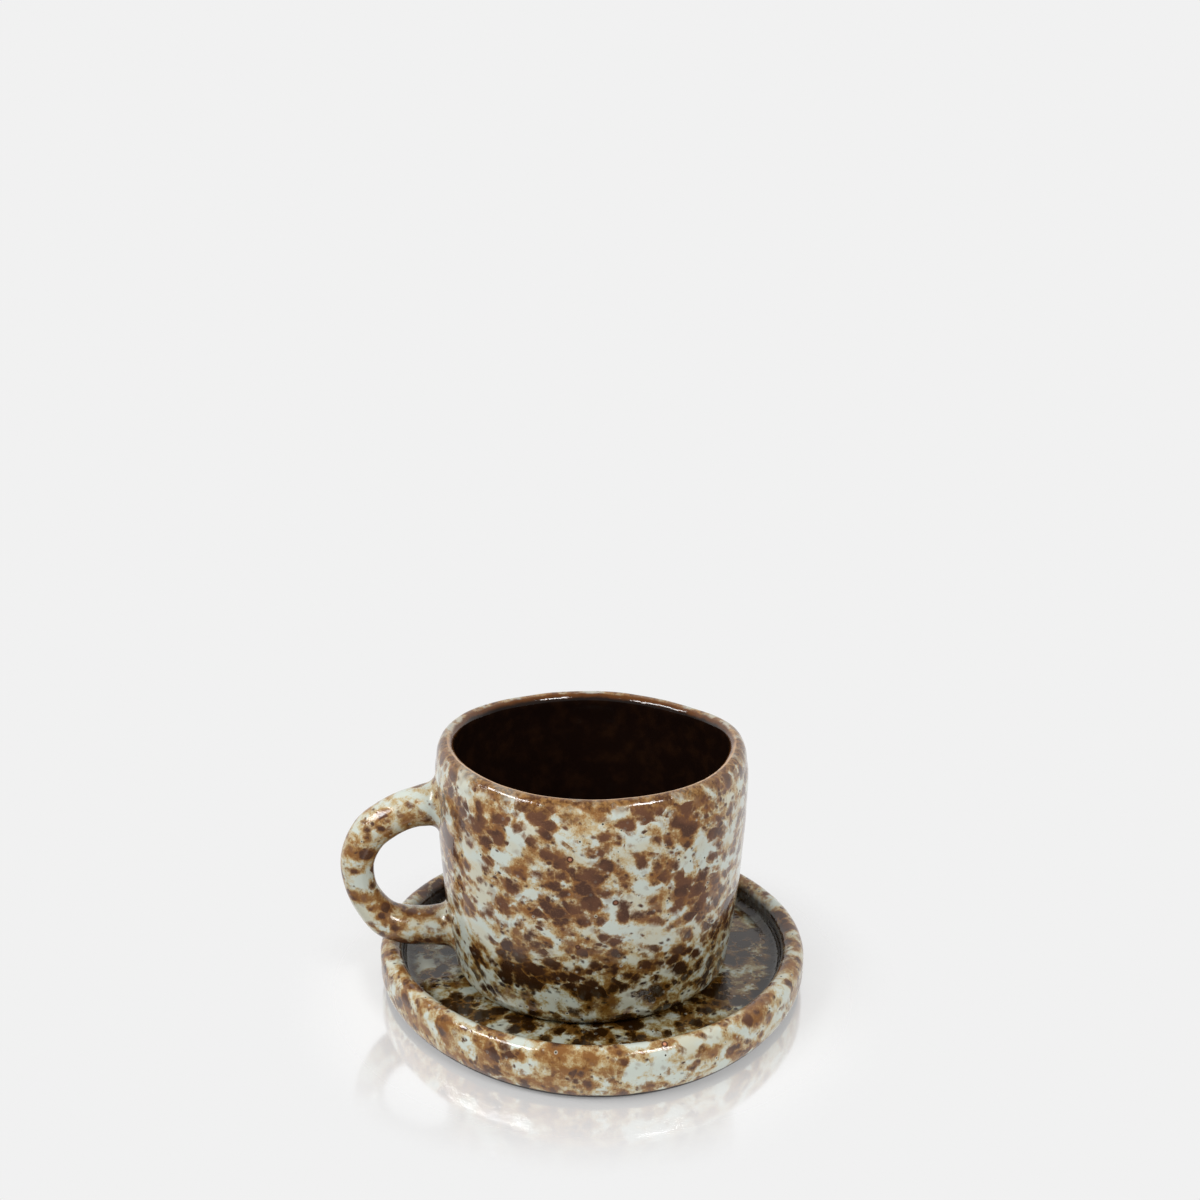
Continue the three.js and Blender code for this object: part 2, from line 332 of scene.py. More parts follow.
glaze = {
    "warps": ((0.35, 0.9), (1.1, 0.4)),  # size and reach of the swirls that bend the blots
    "stretch": 1.3, "slant": 0.2,  # the blots lie wider than high, and slope a little
    "leanSwells": ((0.33, 1.8), (0.9, 1.5)),  # size and strength of the browner and paler fields
    "fine": 4.5, "grain": 11, "roughness": 0.6,
    # cells in a blot size, radius, its spread, pull of the lean, step aside, raggedness
    "blots": {"large": (1, 0.4, 0.4, 0.5, 0, 0.5), "small": (2.1, 0.27, 0.5, 0.45, 0, 0.45),
              "faint": (1.4, 0.4, 0.5, 0.35, 7, 0.4), "specks": (6, 0.32, 0.6, 0.25, 3, 0)},
    # size, detail, roughness and step aside of three slow changes
    "washSwell": (0.9, 1, 0.6, 17), "creamSwell": (0.5, 1, 0.5, 37), "deepSwell": (0.8, 1, 0.5, 25),
    "washShares": {"swell": 2.2, "lean": 0.7, "fine": 0.75, "blot": 0.7, "grain": 0.7},
    "farthestBlot": -0.4,
    # where each layer begins to show and where it is full
    "edges": {"large": (-0.08, 0.21), "small": (-0.08, 0.3), "tan": (-0.3, 0.1), "cream": (-0.05, 0.15),
              "sand": (-0.5, -0.05), "ochre": (-0.2, 0.25), "amber": (0.05, 0.6), "specks": (0, 0.2),
              "speckGround": (-0.3, 0), "dirt": (-0.04, 0.3), "rim": (-0.2, 0.02),
              "deep": (-0.12, 0.12), "brownGrain": (0, 0.25)},
    "shadedLowPale": 0.6, "speck": 0.55, "dirt": 0.4, "rim": 0.6, "brownGrain": 0.45,
    "brownThickness": -0.6, "tanThickness": -0.4, "bumpStrength": 0.6, "bumpDepth": 0.00007,
}
# spacing and radius in millimetres, core and halo reach as shares of the radius
pinhole = {"spacing": 3.2, "radius": 0.28, "core": 0.65, "haloReach": 2, "halo": 0.5,
           "underBrown": 0.85, "depth": -1.5}
# where a blister's disc and its core fade out, as shares of its radius
blister = {"disc": (0.75, 1.1), "core": (0.3, 0.65)}
# scales in swings per metre, and the part of each cloud over which it shows
bare = {"grainScale": 1500, "grainEdge": (0.4, 0.75), "patchScale": 110, "patchEdge": (0.38, 0.62),
        "ironScale": 620, "ironEdge": (0.66, 0.71), "grainDepth": 2, "roughness": 0.6}


# A reactive glaze: a pale ground under a tan wash, with round brown blots that run together
# The warmth input makes every colour warmer and darker: partly warmer glaze, partly painted shade
def mottledGlaze():
    inputs = {
        "Vector": ("Vector", (0, 0, 0)), "Blot Size": ("Float", 4), "Brown Lean": ("Float", 0),
        "Sand Lean": ("Float", 0), "Warmth And Shade": ("Float", 0),
    }
    outputs = {"Colour": ("Color", None), "Brown": ("Float", None), "Thickness": ("Float", None)}
    tree, given, result = makeTree("mottledGlaze", "ShaderNodeTree", inputs, outputs)
    scale = calc(tree, "DIVIDE", 1 / mm, given["Blot Size"])
    still = unit = vectorCalc(tree, "SCALE", given["Vector"], scale=scale)
    for size, reach in glaze["warps"]:
        push = vectorCalc(tree, "SUBTRACT", cloud(tree, unit, size, 1, output=1), (0.5, 0.5, 0.5))
        unit = vectorCalc(tree, "ADD", unit, vectorCalc(tree, "SCALE", push, scale=reach))
    x, y, z = parts(tree, unit)
    slant = calc(tree, "MULTIPLY_ADD", x, glaze["slant"], product(tree, z, glaze["stretch"]))
    flow = outFrom(tree, "ShaderNodeCombineXYZ", {0: x, 1: y, 2: slant})

    def swell(size, detail=1, roughness=0.5, aside=0):
        vector = vectorCalc(tree, "ADD", flow, (aside, aside * 0.7, -aside)) if aside else flow
        return swing(tree, vector, size, detail, roughness)

    def blots(size, reach, spread, pull, aside, ragged):
        vector = vectorCalc(tree, "ADD", flow, (aside, -aside, aside)) if aside else flow
        cells = addNode(tree, "ShaderNodeTexVoronoi", {"Vector": vector, "Scale": size}).outputs
        chance = outFrom(tree, "ShaderNodeSeparateColor", {0: cells["Color"]})
        radius = calc(tree, "MULTIPLY_ADD", chance, spread, reach - spread / 2)
        radius = calc(tree, "MULTIPLY_ADD", lean, pull, radius)
        within = calc(tree, "SUBTRACT", radius, cells["Distance"])
        return calc(tree, "MULTIPLY_ADD", fine, ragged, within)

    def edge(name, value):
        return fade(tree, value, *glaze["edges"][name])

    # a colour's warmer and darker version, the darkness partly painted shade
    def warmedAndShaded(name):
        return mix(tree, given["Warmth And Shade"], name, "warm" + name.capitalize())

    def lay(name, mask, under, over):
        return mix(tree, product(tree, mask, glaze[name]), under, over)

    lean = given["Brown Lean"]
    for size, strength in glaze["leanSwells"]:
        lean = calc(tree, "MULTIPLY_ADD", swell(size), strength, lean)
    fine, grain = (swing(tree, still, glaze[name], 2, glaze["roughness"]) for name in ("fine", "grain"))
    large, small, faint, specks = (blots(*values) for values in glaze["blots"].values())
    brown = calc(tree, "MAXIMUM", edge("large", large), edge("small", small))
    layers = {"swell": swell(*glaze["washSwell"]), "lean": lean, "fine": fine,
              "blot": calc(tree, "MAXIMUM", large, glaze["farthestBlot"]), "grain": grain}
    wash = given["Sand Lean"]
    for name, layer in layers.items():
        wash = calc(tree, "MULTIPLY_ADD", layer, glaze["washShares"][name], wash)
    tan = edge("tan", wash)

    colour = mix(tree, edge("cream", swell(*glaze["creamSwell"])), "pale", "cream")
    # a darker pale low on the cup: painted shade
    colour = lay("shadedLowPale", given["Warmth And Shade"], colour, "shadedLowPale")
    for name in ("sand", "ochre", "amber"):
        colour = mix(tree, edge(name, wash), colour, warmedAndShaded(name))
    speckle = product(tree, edge("specks", specks), edge("speckGround", wash))
    colour = lay("speck", speckle, colour, "speck")
    dirt = product(tree, edge("dirt", faint), calc(tree, "ADD", tan, 1))
    colour = lay("dirt", dirt, colour, warmedAndShaded("dirt"))
    colour = lay("rim", edge("rim", large), colour, warmedAndShaded("amber"))
    deep = mix(tree, edge("deep", swell(*glaze["deepSwell"])), "brown", "darkBrown")
    deep = lay("brownGrain", edge("brownGrain", grain), deep, "brownGrain")
    deep = mix(tree, given["Warmth And Shade"], deep, "warmBrown")
    thickness = calc(tree, "MULTIPLY_ADD", brown, glaze["brownThickness"],
                     product(tree, tan, glaze["tanThickness"]))
    tree.links.new(mix(tree, brown, colour, deep), result["Colour"])
    tree.links.new(brown, result["Brown"])
    tree.links.new(thickness, result["Thickness"])
    return tree


# Tiny holes where gas left the glaze, each with a pale ring round it
def pinholes():
    inputs = {"Vector": ("Vector", (0, 0, 0)), "Spacing": ("Float", 3), "Radius": ("Float", 0.3)}
    outputs = {"Hole": ("Float", None), "Halo": ("Float", None)}
    tree, given, result = makeTree("pinholes", "ShaderNodeTree", inputs, outputs)
    scale = calc(tree, "DIVIDE", 1 / mm, given["Spacing"])
    cells = addNode(tree, "ShaderNodeTexVoronoi", {"Vector": given["Vector"], "Scale": scale}).outputs
    away = product(tree, cells["Distance"], given["Spacing"])
    radius = given["Radius"]
    core, halo = (product(tree, radius, pinhole[name]) for name in ("core", "haloReach"))
    tree.links.new(inverse(tree, fade(tree, away, core, radius)), result["Hole"])
    tree.links.new(inverse(tree, fade(tree, away, radius, halo)), result["Halo"])
    return tree


# One healed blister: a small dark disc with a rusty core
def healedBlister():
    inputs = {"Vector": ("Vector", (0, 0, 0)), "Place": ("Vector", (0, 0, 0)), "Radius": ("Float", 0.8)}
    outputs = {"Disc": ("Float", None), "Core": ("Float", None)}
    tree, given, result = makeTree("healedBlister", "ShaderNodeTree", inputs, outputs)
    here = vectorCalc(tree, "SCALE", given["Vector"], scale=1 / mm)
    gap = addNode(tree, "ShaderNodeVectorMath", {0: here, 1: given["Place"]}, operation="DISTANCE")
    share = calc(tree, "DIVIDE", gap.outputs["Value"], given["Radius"])
    for label in ("Disc", "Core"):
        tree.links.new(inverse(tree, fade(tree, share, *blister[label.lower()])), result[label])
    return tree


# Unglazed clay where a piece stood in the kiln: sandy grain with dark iron specks, darkened by a share
# of painted shade
def bareClay():
    inputs = {"Vector": ("Vector", (0, 0, 0)), "Painted Shade": ("Float", 0)}
    outputs = {"Colour": ("Color", None), "Grain": ("Float", None)}
    tree, given, result = makeTree("bareClay", "ShaderNodeTree", inputs, outputs)
    grain = cloud(tree, given["Vector"], bare["grainScale"], 3, 0.7)
    patches = cloud(tree, given["Vector"], bare["patchScale"], 2)
    iron = cloud(tree, given["Vector"], bare["ironScale"], 1)
    clay = mix(tree, fade(tree, patches, *bare["patchEdge"]), "clay", "clayPatch")
    clay = mix(tree, fade(tree, grain, *bare["grainEdge"]), clay, "clayGrain")
    clay = mix(tree, fade(tree, iron, *bare["ironEdge"]), clay, "iron")
    tree.links.new(mix(tree, given["Painted Shade"], clay, "paintedClayShade"), result["Colour"])
    tree.links.new(grain, result["Grain"])
    return tree


effects = {
    "glaze": mottledGlaze(), "pinholes": pinholes(), "blister": healedBlister(), "clay": bareClay(),
}


def newMaterial(name):
    material = bpy.data.materials.new(name)
    material.use_nodes = True
    return material


def objectPlace(tree):
    return addNode(tree, "ShaderNodeTexCoord").outputs["Object"]


def attribute(tree, name):
    return addNode(tree, "ShaderNodeAttribute", attribute_name=name).outputs["Fac"]


# The glaze of one piece with its pinholes and blisters, under the piece's own bands
def layGlaze(tree, place, blotSize, warmth, extraBrown=0, extraSand=0, spots=()):
    pattern = placeGroup(tree, effects["glaze"], {
        "Vector": place, "Blot Size": blotSize, "Warmth And Shade": warmth,
        "Brown Lean": calc(tree, "ADD", attribute(tree, "brownLean"), extraBrown),
        "Sand Lean": calc(tree, "ADD", attribute(tree, "sandLean"), extraSand)})
    holes = placeGroup(tree, effects["pinholes"], {
        "Vector": place, "Spacing": pinhole["spacing"], "Radius": pinhole["radius"]})
    # the holes show in the pale glaze, and close up under the brown
    clear = calc(tree, "MULTIPLY_ADD", pattern["Brown"], -pinhole["underBrown"], 1)
    halo = product(tree, product(tree, holes["Halo"], pinhole["halo"]), clear)
    colour = mix(tree, halo, pattern["Colour"], "halo")
    colour = mix(tree, product(tree, holes["Hole"], clear), colour, "hole")
    height = calc(tree, "MULTIPLY_ADD", holes["Hole"], pinhole["depth"], pattern["Thickness"])
    for middle, radius, rust in spots:
        spot = placeGroup(tree, effects["blister"], {"Vector": place, "Place": middle, "Radius": radius})
        colour = mix(tree, spot["Disc"], colour, "blister")
        colour = mix(tree, product(tree, spot["Core"], rust), colour, "core")
        height = calc(tree, "ADD", height, spot["Disc"])
    return colour, height


# Edges that follow a lip or rim: how far each sways, and where it starts and ends, in millimetres
# from the crest, below 0 on the outside and above 0 on the inside
def edgesFromCrest(tree, place, finish):
    fromCrest = product(tree, attribute(tree, "fromCrest"), 1 / mm)
    wobble = swing(tree, place, finish["wobbleScale"])

    def edge(name):
        sway, start, end = finish["edges"][name]
        return fade(tree, calc(tree, "MULTIPLY_ADD", wobble, sway, fromCrest), start, end)

    return edge, wobble


# Leaves the clay bare where the mask is 1, darkened by its share of painted shade
def leaveBare(tree, place, mask, paintedShade, colour, height):
    clay = placeGroup(tree, effects["clay"], {"Vector": place, "Painted Shade": paintedShade})
    grain = product(tree, product(tree, mask, clay["Grain"]), bare["grainDepth"])
    height = calc(tree, "ADD", product(tree, height, inverse(tree, mask)), grain)
    return mix(tree, mask, colour, clay["Colour"]), height


def finishGlaze(tree, colour, height, gloss, mask=None):
    shader = tree.nodes["Principled BSDF"]
    tree.links.new(colour, shader.inputs["Base Color"])
    shader.inputs["Roughness"].default_value = gloss
    if mask is not None:
        roughness = calc(tree, "MULTIPLY_ADD", mask, bare["roughness"], gloss)
        tree.links.new(roughness, shader.inputs["Roughness"])
    bump = addNode(tree, "ShaderNodeBump", {
        "Strength": glaze["bumpStrength"], "Distance": glaze["bumpDepth"], "Height": height})
    tree.links.new(bump.outputs[0], shader.inputs["Normal"])


cupFinish = {
    "blotSize": 4, "gloss": 0.08, "paintedShade": 0, "wobbleScale": 260,
    "warmHeights": (13, 36),  # millimetres above the table, over which the warmer glaze and its painted shade fade out going up
    "frontDepths": (-0.03, 0.02),  # metres, from the front, where the umber band is full and the pale edge line is painted lit, to the back
    "edges": {"wideBand": (12, -4.6, -1.4), "narrowBand": (5, -2.4, -0.9), "bareEdge": (0, 0, 0.25),
              "linerEdge": (1.6, 0.4, 1.3), "liner": (1.6, 1.4, 2.6), "foot": (1.6, -62.6, -62)},
    "wideBand": 0.5, "narrowBand": 0.3, "bandAtBack": 0.45, "umberScale": 900, "umberEdge": (0.4, 0.6),
    "brokenLine": (-0.25, -0.05), "linerCloud": (-0.1, 0.3),
}


def cupGlaze(tree, spots):
    finish = cupFinish
    place = objectPlace(tree)
    _, depth, up = parts(tree, place)
    # warmer glaze and painted shade toward the bottom of the cup
    warmth = inverse(tree, fade(tree, product(tree, up, 1 / mm), *finish["warmHeights"]))
    colour, height = layGlaze(tree, place, finish["blotSize"], warmth, spots=spots)
    edge, wobble = edgesFromCrest(tree, place, finish)
    # a speckled umber band and a thin bare edge where the two glazes meet on the lip
    front = inverse(tree, fade(tree, depth, *finish["frontDepths"]))
    band = calc(tree, "MULTIPLY_ADD", edge("narrowBand"), finish["narrowBand"],
                product(tree, edge("wideBand"), finish["wideBand"]))
    atBack = finish["bandAtBack"]
    band = product(tree, band, calc(tree, "MULTIPLY_ADD", front, 1 - atBack, atBack))
    speckle = fade(tree, cloud(tree, place, finish["umberScale"], 2, 0.7), *finish["umberEdge"])
    colour = mix(tree, band, colour, mix(tree, speckle, "darkUmber", "lightUmber"))
    # the pale edge is a real thin line, drawn only at the front as a painted highlight where light falls
    # on the lip
    line = product(tree, edge("bareEdge"), fade(tree, wobble, *finish["brokenLine"]))
    colour = mix(tree, product(tree, line, front), colour, "bareEdge")
    colour = mix(tree, edge("linerEdge"), colour, "linerEdge")
    liner = edge("liner")
    dark = mix(tree, fade(tree, wobble, *finish["linerCloud"]), "liner", "linerCloud")
    colour = mix(tree, liner, colour, dark)
    height = product(tree, height, inverse(tree, liner))
    foot = inverse(tree, edge("foot"))
    colour, height = leaveBare(tree, place, foot, finish["paintedShade"], colour, height)
    finishGlaze(tree, colour, height, finish["gloss"], foot)


handleFinish = {"blotSize": 3.6, "gloss": 0.15, "warmth": 0.2}


def handleGlaze(tree):
    colour, height = layGlaze(tree, objectPlace(tree), handleFinish["blotSize"], handleFinish["warmth"])
    finishGlaze(tree, colour, height, handleFinish["gloss"])


saucerFinish = {
    "blotSize": 3.6, "gloss": 0.08, "paintedShade": 0.4, "wobbleScale": 260,
    "edges": {"well": (0, 3, 7), "poolAndShadeStart": (3, 1.6, 3.6), "poolAndShadeEnd": (3, 8.5, 11.5),
              "base": (0.8, -11.9, -11.4), "paintedFootShadow": (0.8, -14.8, -14)},
    "rimWarmthAndShade": 0.25, "wellBrown": 0.3, "wellSand": -0.15, "poolAndShade": 0.85, "wellShade": 0.22,
}


def saucerGlaze(tree, spots):
    finish = saucerFinish
    place = objectPlace(tree)
    edge, _ = edgesFromCrest(tree, place, finish)
    well = edge("well")
    # warmer glaze and painted shade in the well, and a little on the rim
    warmth = calc(tree, "MULTIPLY_ADD", well, 1 - finish["rimWarmthAndShade"], finish["rimWarmthAndShade"])
    colour, height = layGlaze(tree, place, finish["blotSize"], warmth,
                              product(tree, well, finish["wellBrown"]),
                              product(tree, well, finish["wellSand"]), spots)
    # dark glaze pooled against the inner wall, partly painted shade and painted reflection of the dark
    # cup there, and painted shade over the whole well
    poolAndShade = product(tree, edge("poolAndShadeStart"), inverse(tree, edge("poolAndShadeEnd")))
    poolAndShade = product(tree, poolAndShade, finish["poolAndShade"])
    wellShading = calc(tree, "MAXIMUM", poolAndShade, product(tree, well, finish["wellShade"]))
    colour = mix(tree, wellShading, colour, "poolAndShade")
    # the glaze ends above the foot on bare clay darkened as painted shade, with a thin painted shadow
    # line where the saucer meets the floor
    base = inverse(tree, edge("base"))
    colour, height = leaveBare(tree, place, base, finish["paintedShade"], colour, height)
    colour = mix(tree, product(tree, base, edge("paintedFootShadow")), colour, "paintedFootShadow")
    finishGlaze(tree, colour, height, finish["gloss"], base)


print("glaze effects are ready")


# The photo's camera: place and clip in metres, angles in degrees, lens and sensor in
# millimetres, and the width and height of the photo in pixels
camera = {"place": (0, -0.3062, 0.1844), "down": 15.53, "roll": 0.34, "toRight": 0.25,
          "lens": 40, "sensor": 36, "clip": (0.01, 20), "photoSide": 1200}


# The camera's right, up and ahead
def cameraAxes():
    down, roll, aside = (math.radians(camera[key]) for key in ("down", "roll", "toRight"))
    level = math.cos(down)
    ahead = Vector((math.sin(aside) * level, math.cos(aside) * level, -math.sin(down)))
    right = ahead.cross(Vector((0, 0, 1))).normalized()
    up = right.cross(ahead)
    tiltedRight = right * math.cos(roll) + up * math.sin(roll)
    return tiltedRight, up * math.cos(roll) - right * math.sin(roll), ahead


# Where a spot of the photo, in pixels, lies on a piece at rest, and what a pixel covers there,
# both in millimetres
def traceSpot(piece, x, y):
    right, up, ahead = cameraAxes()
    eye = Vector(camera["place"])
    middle = camera["photoSide"] / 2
    focus = camera["photoSide"] * camera["lens"] / camera["sensor"]
    toward = ahead + (right * (x - middle) - up * (y - middle)) / focus
    graph = bpy.context.evaluated_depsgraph_get()
    _, place, _, _ = piece.ray_cast(eye, toward.normalized(), depsgraph=graph)
    return place / mm, (place - eye).dot(ahead) / focus / mm


# Healed blisters: "seen" ones at (x, y) in the photo's pixels, "placed" ones at (x, y, z) in
# millimetres at rest, each with its radius in millimetres and how far its core shows
blisters = {
    "cup": {"seen": ((475, 789.7, 0.5, 0.1), (570, 859.7, 0.85, 0.7), (615.6, 902.8, 0.8, 0.35),
                     (577.8, 947, 0.65, 0.15)),
            "placed": ((36.5, 5.2, 49, 0.85, 0.6), (12.4, 34.6, 40, 0.6, 0.2),
                       (-24, 26.5, 52, 0.8, 0.6))},
    "saucer": {"seen": ((664.7, 1044, 0.8, 1),),
               "placed": ((50.2, 12.4, 11.8, 0.8, 0.5), (-22, 47.5, 11.8, 0.7, 0.3))},
}


def blisterPlaces(piece, spots):
    for x, y, radius, rust in spots["seen"]:
        yield traceSpot(piece, x, y)[0], radius, rust
    for *place, radius, rust in spots["placed"]:
        yield place, radius, rust


# Where the real glaze ran darker, paler or sandier: "seen" marks as (x, y, radius) in the photo's
# pixels, read off and some then widened, and "placed" ones, given as (x, y, z, radius) in
# millimetres at rest
cupMarks = {
    "seen": {
        "brown": ((454, 795, 20), (494, 828, 17), (543, 832, 12), (560, 870, 12), (600, 870, 17),
            (590, 890, 15), (554, 917, 22), (510, 882, 14), (660, 870, 9), (716, 832, 13),
            (685, 822, 9), (657, 910, 13), (682, 892, 12), (707, 907, 14), (510, 967, 23.5),
            (663, 960, 18), (660, 995, 14), (697, 973, 14), (479, 950, 8.5), (454, 845, 8.5),
            (660, 797, 10), (728, 905, 10)),
        "pale": ((516, 845, 15), (472, 848, 14), (575, 856, 10), (641, 832, 14), (690, 857, 18),
            (638, 888, 12), (626, 936, 18), (628, 958, 10), (485, 901, 14), (487, 972, 12),
            (480, 930, 10), (544, 1001, 12), (728, 857, 9), (629, 997, 14), (700, 935, 12)),
        "sand": ((580, 822, 16), (560, 805, 14), (600, 815, 14), (675, 835, 12), (700, 800, 10),
            (660, 900, 10), (520, 870, 10), (600, 1010, 14))},
    "placed": {
        "brown": ((-13, -34, 19, 5.4), (-7, -36, 21, 6.2), (1, -36, 18, 6.2), (-37, -10, 54, 3),
            (-39, -11, 42, 3), (-37, -11, 20, 3), (-38, -10, 15, 2.5)),
        "pale": ((-30, -22, 62, 2.5),)},
}


# A kind's marks as places and radii in millimetres; a seen place is read no finer than whole ones
def markPlaces(piece, marks, kind):
    for x, y, radius in marks["seen"].get(kind, ()):
        place, pixel = traceSpot(piece, x, y)
        yield np.round(place), radius * pixel
    for *place, radius in marks["placed"].get(kind, ()):
        yield place, radius


# What each kind of mark adds to the two fields of the glaze at its middle
marking = {"reach": 0.7, "brownLean": {"brown": 0.5, "pale": -0.5, "sand": -0.1},
           "sandLean": {"sand": 0.6, "pale": -0.2}}


def markLeans(piece, marks, brownShift, sandShift):
    corners = np.empty(len(piece.data.vertices) * 3, np.float32)
    piece.data.vertices.foreach_get("co", corners)
    corners = corners.reshape(-1, 3) / mm
    near = {}
    for kind in ("brown", "pale", "sand"):
        near[kind] = np.zeros(len(corners))
        for place, radius in markPlaces(piece, marks, kind):
            away = (corners - place) / (radius * marking["reach"])
            near[kind] = np.maximum(near[kind], np.exp(-0.5 * (away ** 2).sum(1)))
    for name, shift in (("brownLean", brownShift), ("sandLean", sandShift)):
        lean = shift + sum(share * near[kind] for kind, share in marking[name].items())
        keepNumbers(piece.data, name, lean)


# Cup body

cup = {  # millimetres, heights from the face that the cup stands on
    "height": 58.5, "footRadius": 30.4, "footRounding": 4.1, "footDrop": 0.25,
    "waistRadius": 36.9, "waistHeight": 22, "bellyRadius": 38.5, "bellyHeight": 47,
    "lipRadius": 38, "lipOuterRise": 4.4, "lipInnerRise": 2.6, "lipOuterWidth": 2.5,
    "wall": 4.5, "floor": 5, "innerCorner": 8,
    "axis": (-0.5, -0.9, 5.8), "stepsAround": 360,
    "dentDepth": 0.22, "dentSize": 16, "rippleDepth": 0.05, "rippleSize": 5,
    # lobes round the cup, share of the radius or height, and direction of the first in degrees
    "footLobes": ((2, 0.0064, 42), (3, 0.0095, -17)),
    "topLobes": ((2, 0.0032, -40), (3, 0.0047, 28), (5, 0.0076, 19)),
    "lipLobes": ((1, 0.0055, -173), (2, 0.0061, -6), (3, 0.0029, -13), (5, 0.0026, 7)),
    "leans": (0, 0.04),  # brown and sand all over
    "steps": {"foot": 13, "footBend": 12, "side": 60, "outerLip": 16, "innerLip": 12, "inside": 42,
              "corner": 14, "bottom": 12},
}


def cupOutside():
    foot, rounding, drop, steps = (
        cup[key] for key in ("footRadius", "footRounding", "footDrop", "steps"))
    return joined(
        straight((0, -drop), (foot, -drop), steps["foot"]),
        arc(foot, rounding, rounding, rounding + drop, -90, 0, steps["footBend"]),
        smoothLine([(foot + rounding, rounding), (cup["waistRadius"], cup["waistHeight"]),
                    (cup["bellyRadius"], cup["bellyHeight"]),
                    (cup["lipRadius"], cup["height"] - cup["lipOuterRise"])], steps["side"]))


def cupProfile():
    wall, floor, corner, steps = (cup[key] for key in ("wall", "floor", "innerCorner", "steps"))
    outerWidth, outerRise, innerRise = (
        cup[key] for key in ("lipOuterWidth", "lipOuterRise", "lipInnerRise"))
    crest = cup["lipRadius"] - outerWidth
    innerStart = cup["height"] - innerRise
    innerFoot = cup["footRadius"] + cup["footRounding"] - wall
    profile = joined(
        cupOutside(),
        arc(crest, cup["height"] - outerRise, outerWidth, outerRise, 0, 90, steps["outerLip"]),
        arc(crest, innerStart, wall - outerWidth, innerRise, 90, 180, steps["innerLip"]),
        smoothLine([(cup["lipRadius"] - wall, innerStart),
                    (cup["bellyRadius"] - wall, cup["bellyHeight"]),
                    (cup["waistRadius"] - wall, cup["waistHeight"]),
                    (innerFoot, floor + corner)], steps["inside"]),
        arc(innerFoot - corner, floor + corner, corner, corner, 0, -90, steps["corner"]),
        straight((innerFoot - corner, floor), (0, floor), steps["bottom"]))
    # no dents in the face that the cup stands on
    return measured(profile, np.clip(profile[:, 1] / cup["footRounding"], 0, 1), 1)


cupMaterial = newMaterial("cupGlaze")
turned = turnedTree("turnedCup", cup["footLobes"], cup["topLobes"], cup["lipLobes"])
cupBody = turnPiece("cupBody", turned, cupProfile(), treeValues(cup, cupMaterial))
markLeans(cupBody, cupMarks, *cup["leans"])
cupGlaze(cupMaterial.node_tree, blisterPlaces(cupBody, blisters["cup"]))
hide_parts("cup_body")
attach(cupBody, "cup")

# Saucer

saucerMarks = {
    "seen": {
        "brown": ((496, 1059, 10), (480, 1068, 10), (520, 1056, 9), (700, 1062, 10), (752, 1016, 13),
            (545, 1075, 12), (575, 1083, 10), (430, 1035, 10), (400, 1000, 9), (669, 1069, 6),
            (643, 1085, 6), (520, 1020, 13), (630, 1025, 10), (665, 1010, 13), (460, 1005, 12.5),
            (730, 980, 16), (700, 1005, 12.5)),
        "pale": ((660, 1062, 18), (600, 1083, 9), (640, 1070, 9.5), (690, 1045, 10), (640, 1045, 9),
            (715, 1040, 8), (470, 1020, 10), (520, 1040, 9), (785, 990, 8), (390, 965, 8),
            (500, 1030, 9), (560, 1038, 10), (600, 1040, 10), (640, 1030, 7), (755, 920, 14),
            (745, 945, 10), (430, 960, 12)),
        "sand": ((560, 1055, 22), (590, 1062, 18), (450, 1040, 14), (480, 1045, 12), (540, 1060, 12),
            (720, 1050, 11), (420, 1015, 12), (760, 1020, 10.5), (790, 970, 9))},
    "placed": {
        "brown": ((45, -6, 6, 3), (38, 4, 6, 9), (34, -22, 6, 6), (28, 30, 6, 9), (-8, 42, 6, 9),
            (-36, 24, 6, 9))},
}
saucer = {  # millimetres, heights from the table
    "radius": 53.6, "baseRadius": 50.2, "baseRise": 4.8, "height": 11.8, "floor": 5.5,
    "rimWall": 5.6, "crest": 3.7, "corner": 2.2, "axis": (0, 0, 0), "stepsAround": 420,
    "dentDepth": 0.2, "dentSize": 18, "rippleDepth": 0.05, "rippleSize": 5,
    "flatRadius": 36, "flatEdge": 6,  # no dents in the floor under the cup
    "planLobes": ((2, 0.0073, -66), (3, 0.0103, 37), (4, 0.0094, 2)),
    "rimLobes": ((2, 0.042, -87), (3, 0.026, 34)),
    "leans": (-0.24, 0.29),
    "steps": {"base": 17, "baseBend": 12, "side": 5, "crest": 28, "wall": 2, "corner": 8, "floor": 34},
}


def saucerProfile():
    radius, base, rise, floor, corner, steps = (
        saucer[key] for key in ("radius", "baseRadius", "baseRise", "floor", "corner", "steps"))
    crestStart = saucer["height"] - saucer["crest"]
    halfWall = saucer["rimWall"] / 2
    well = radius - saucer["rimWall"]
    profile = joined(
        straight((0, 0), (base, 0), steps["base"]),
        arc(base, rise, radius - base, rise, -90, 0, steps["baseBend"]),
        straight((radius, rise), (radius, crestStart), steps["side"]),
        arc(radius - halfWall, crestStart, halfWall, saucer["crest"], 0, 180, steps["crest"]),
        straight((well, crestStart), (well, floor + corner), steps["wall"]),
        arc(well - corner, floor + corner, corner, corner, 0, -90, steps["corner"]),
        straight((well - corner, floor), (0, floor), steps["floor"]))
    outside = np.clip(profile[:, 1] / rise, 0, 1)
    inside = np.clip((profile[:, 0] - saucer["flatRadius"]) / saucer["flatEdge"], 0, 1)
    return measured(profile, outside, inside)


saucerMaterial = newMaterial("saucerGlaze")
turned = turnedTree("turnedSaucer", saucer["planLobes"], saucer["planLobes"], saucer["rimLobes"])
saucerPlate = turnPiece("saucerPlate", turned, saucerProfile(), treeValues(saucer, saucerMaterial))
markLeans(saucerPlate, saucerMarks, *saucer["leans"])
saucerGlaze(saucerMaterial.node_tree, blisterPlaces(saucerPlate, blisters["saucer"]))
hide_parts("saucer")
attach(saucerPlate, "saucer")

# Handle: a coil bent in one upright plane, with both ends smoothed onto the wall

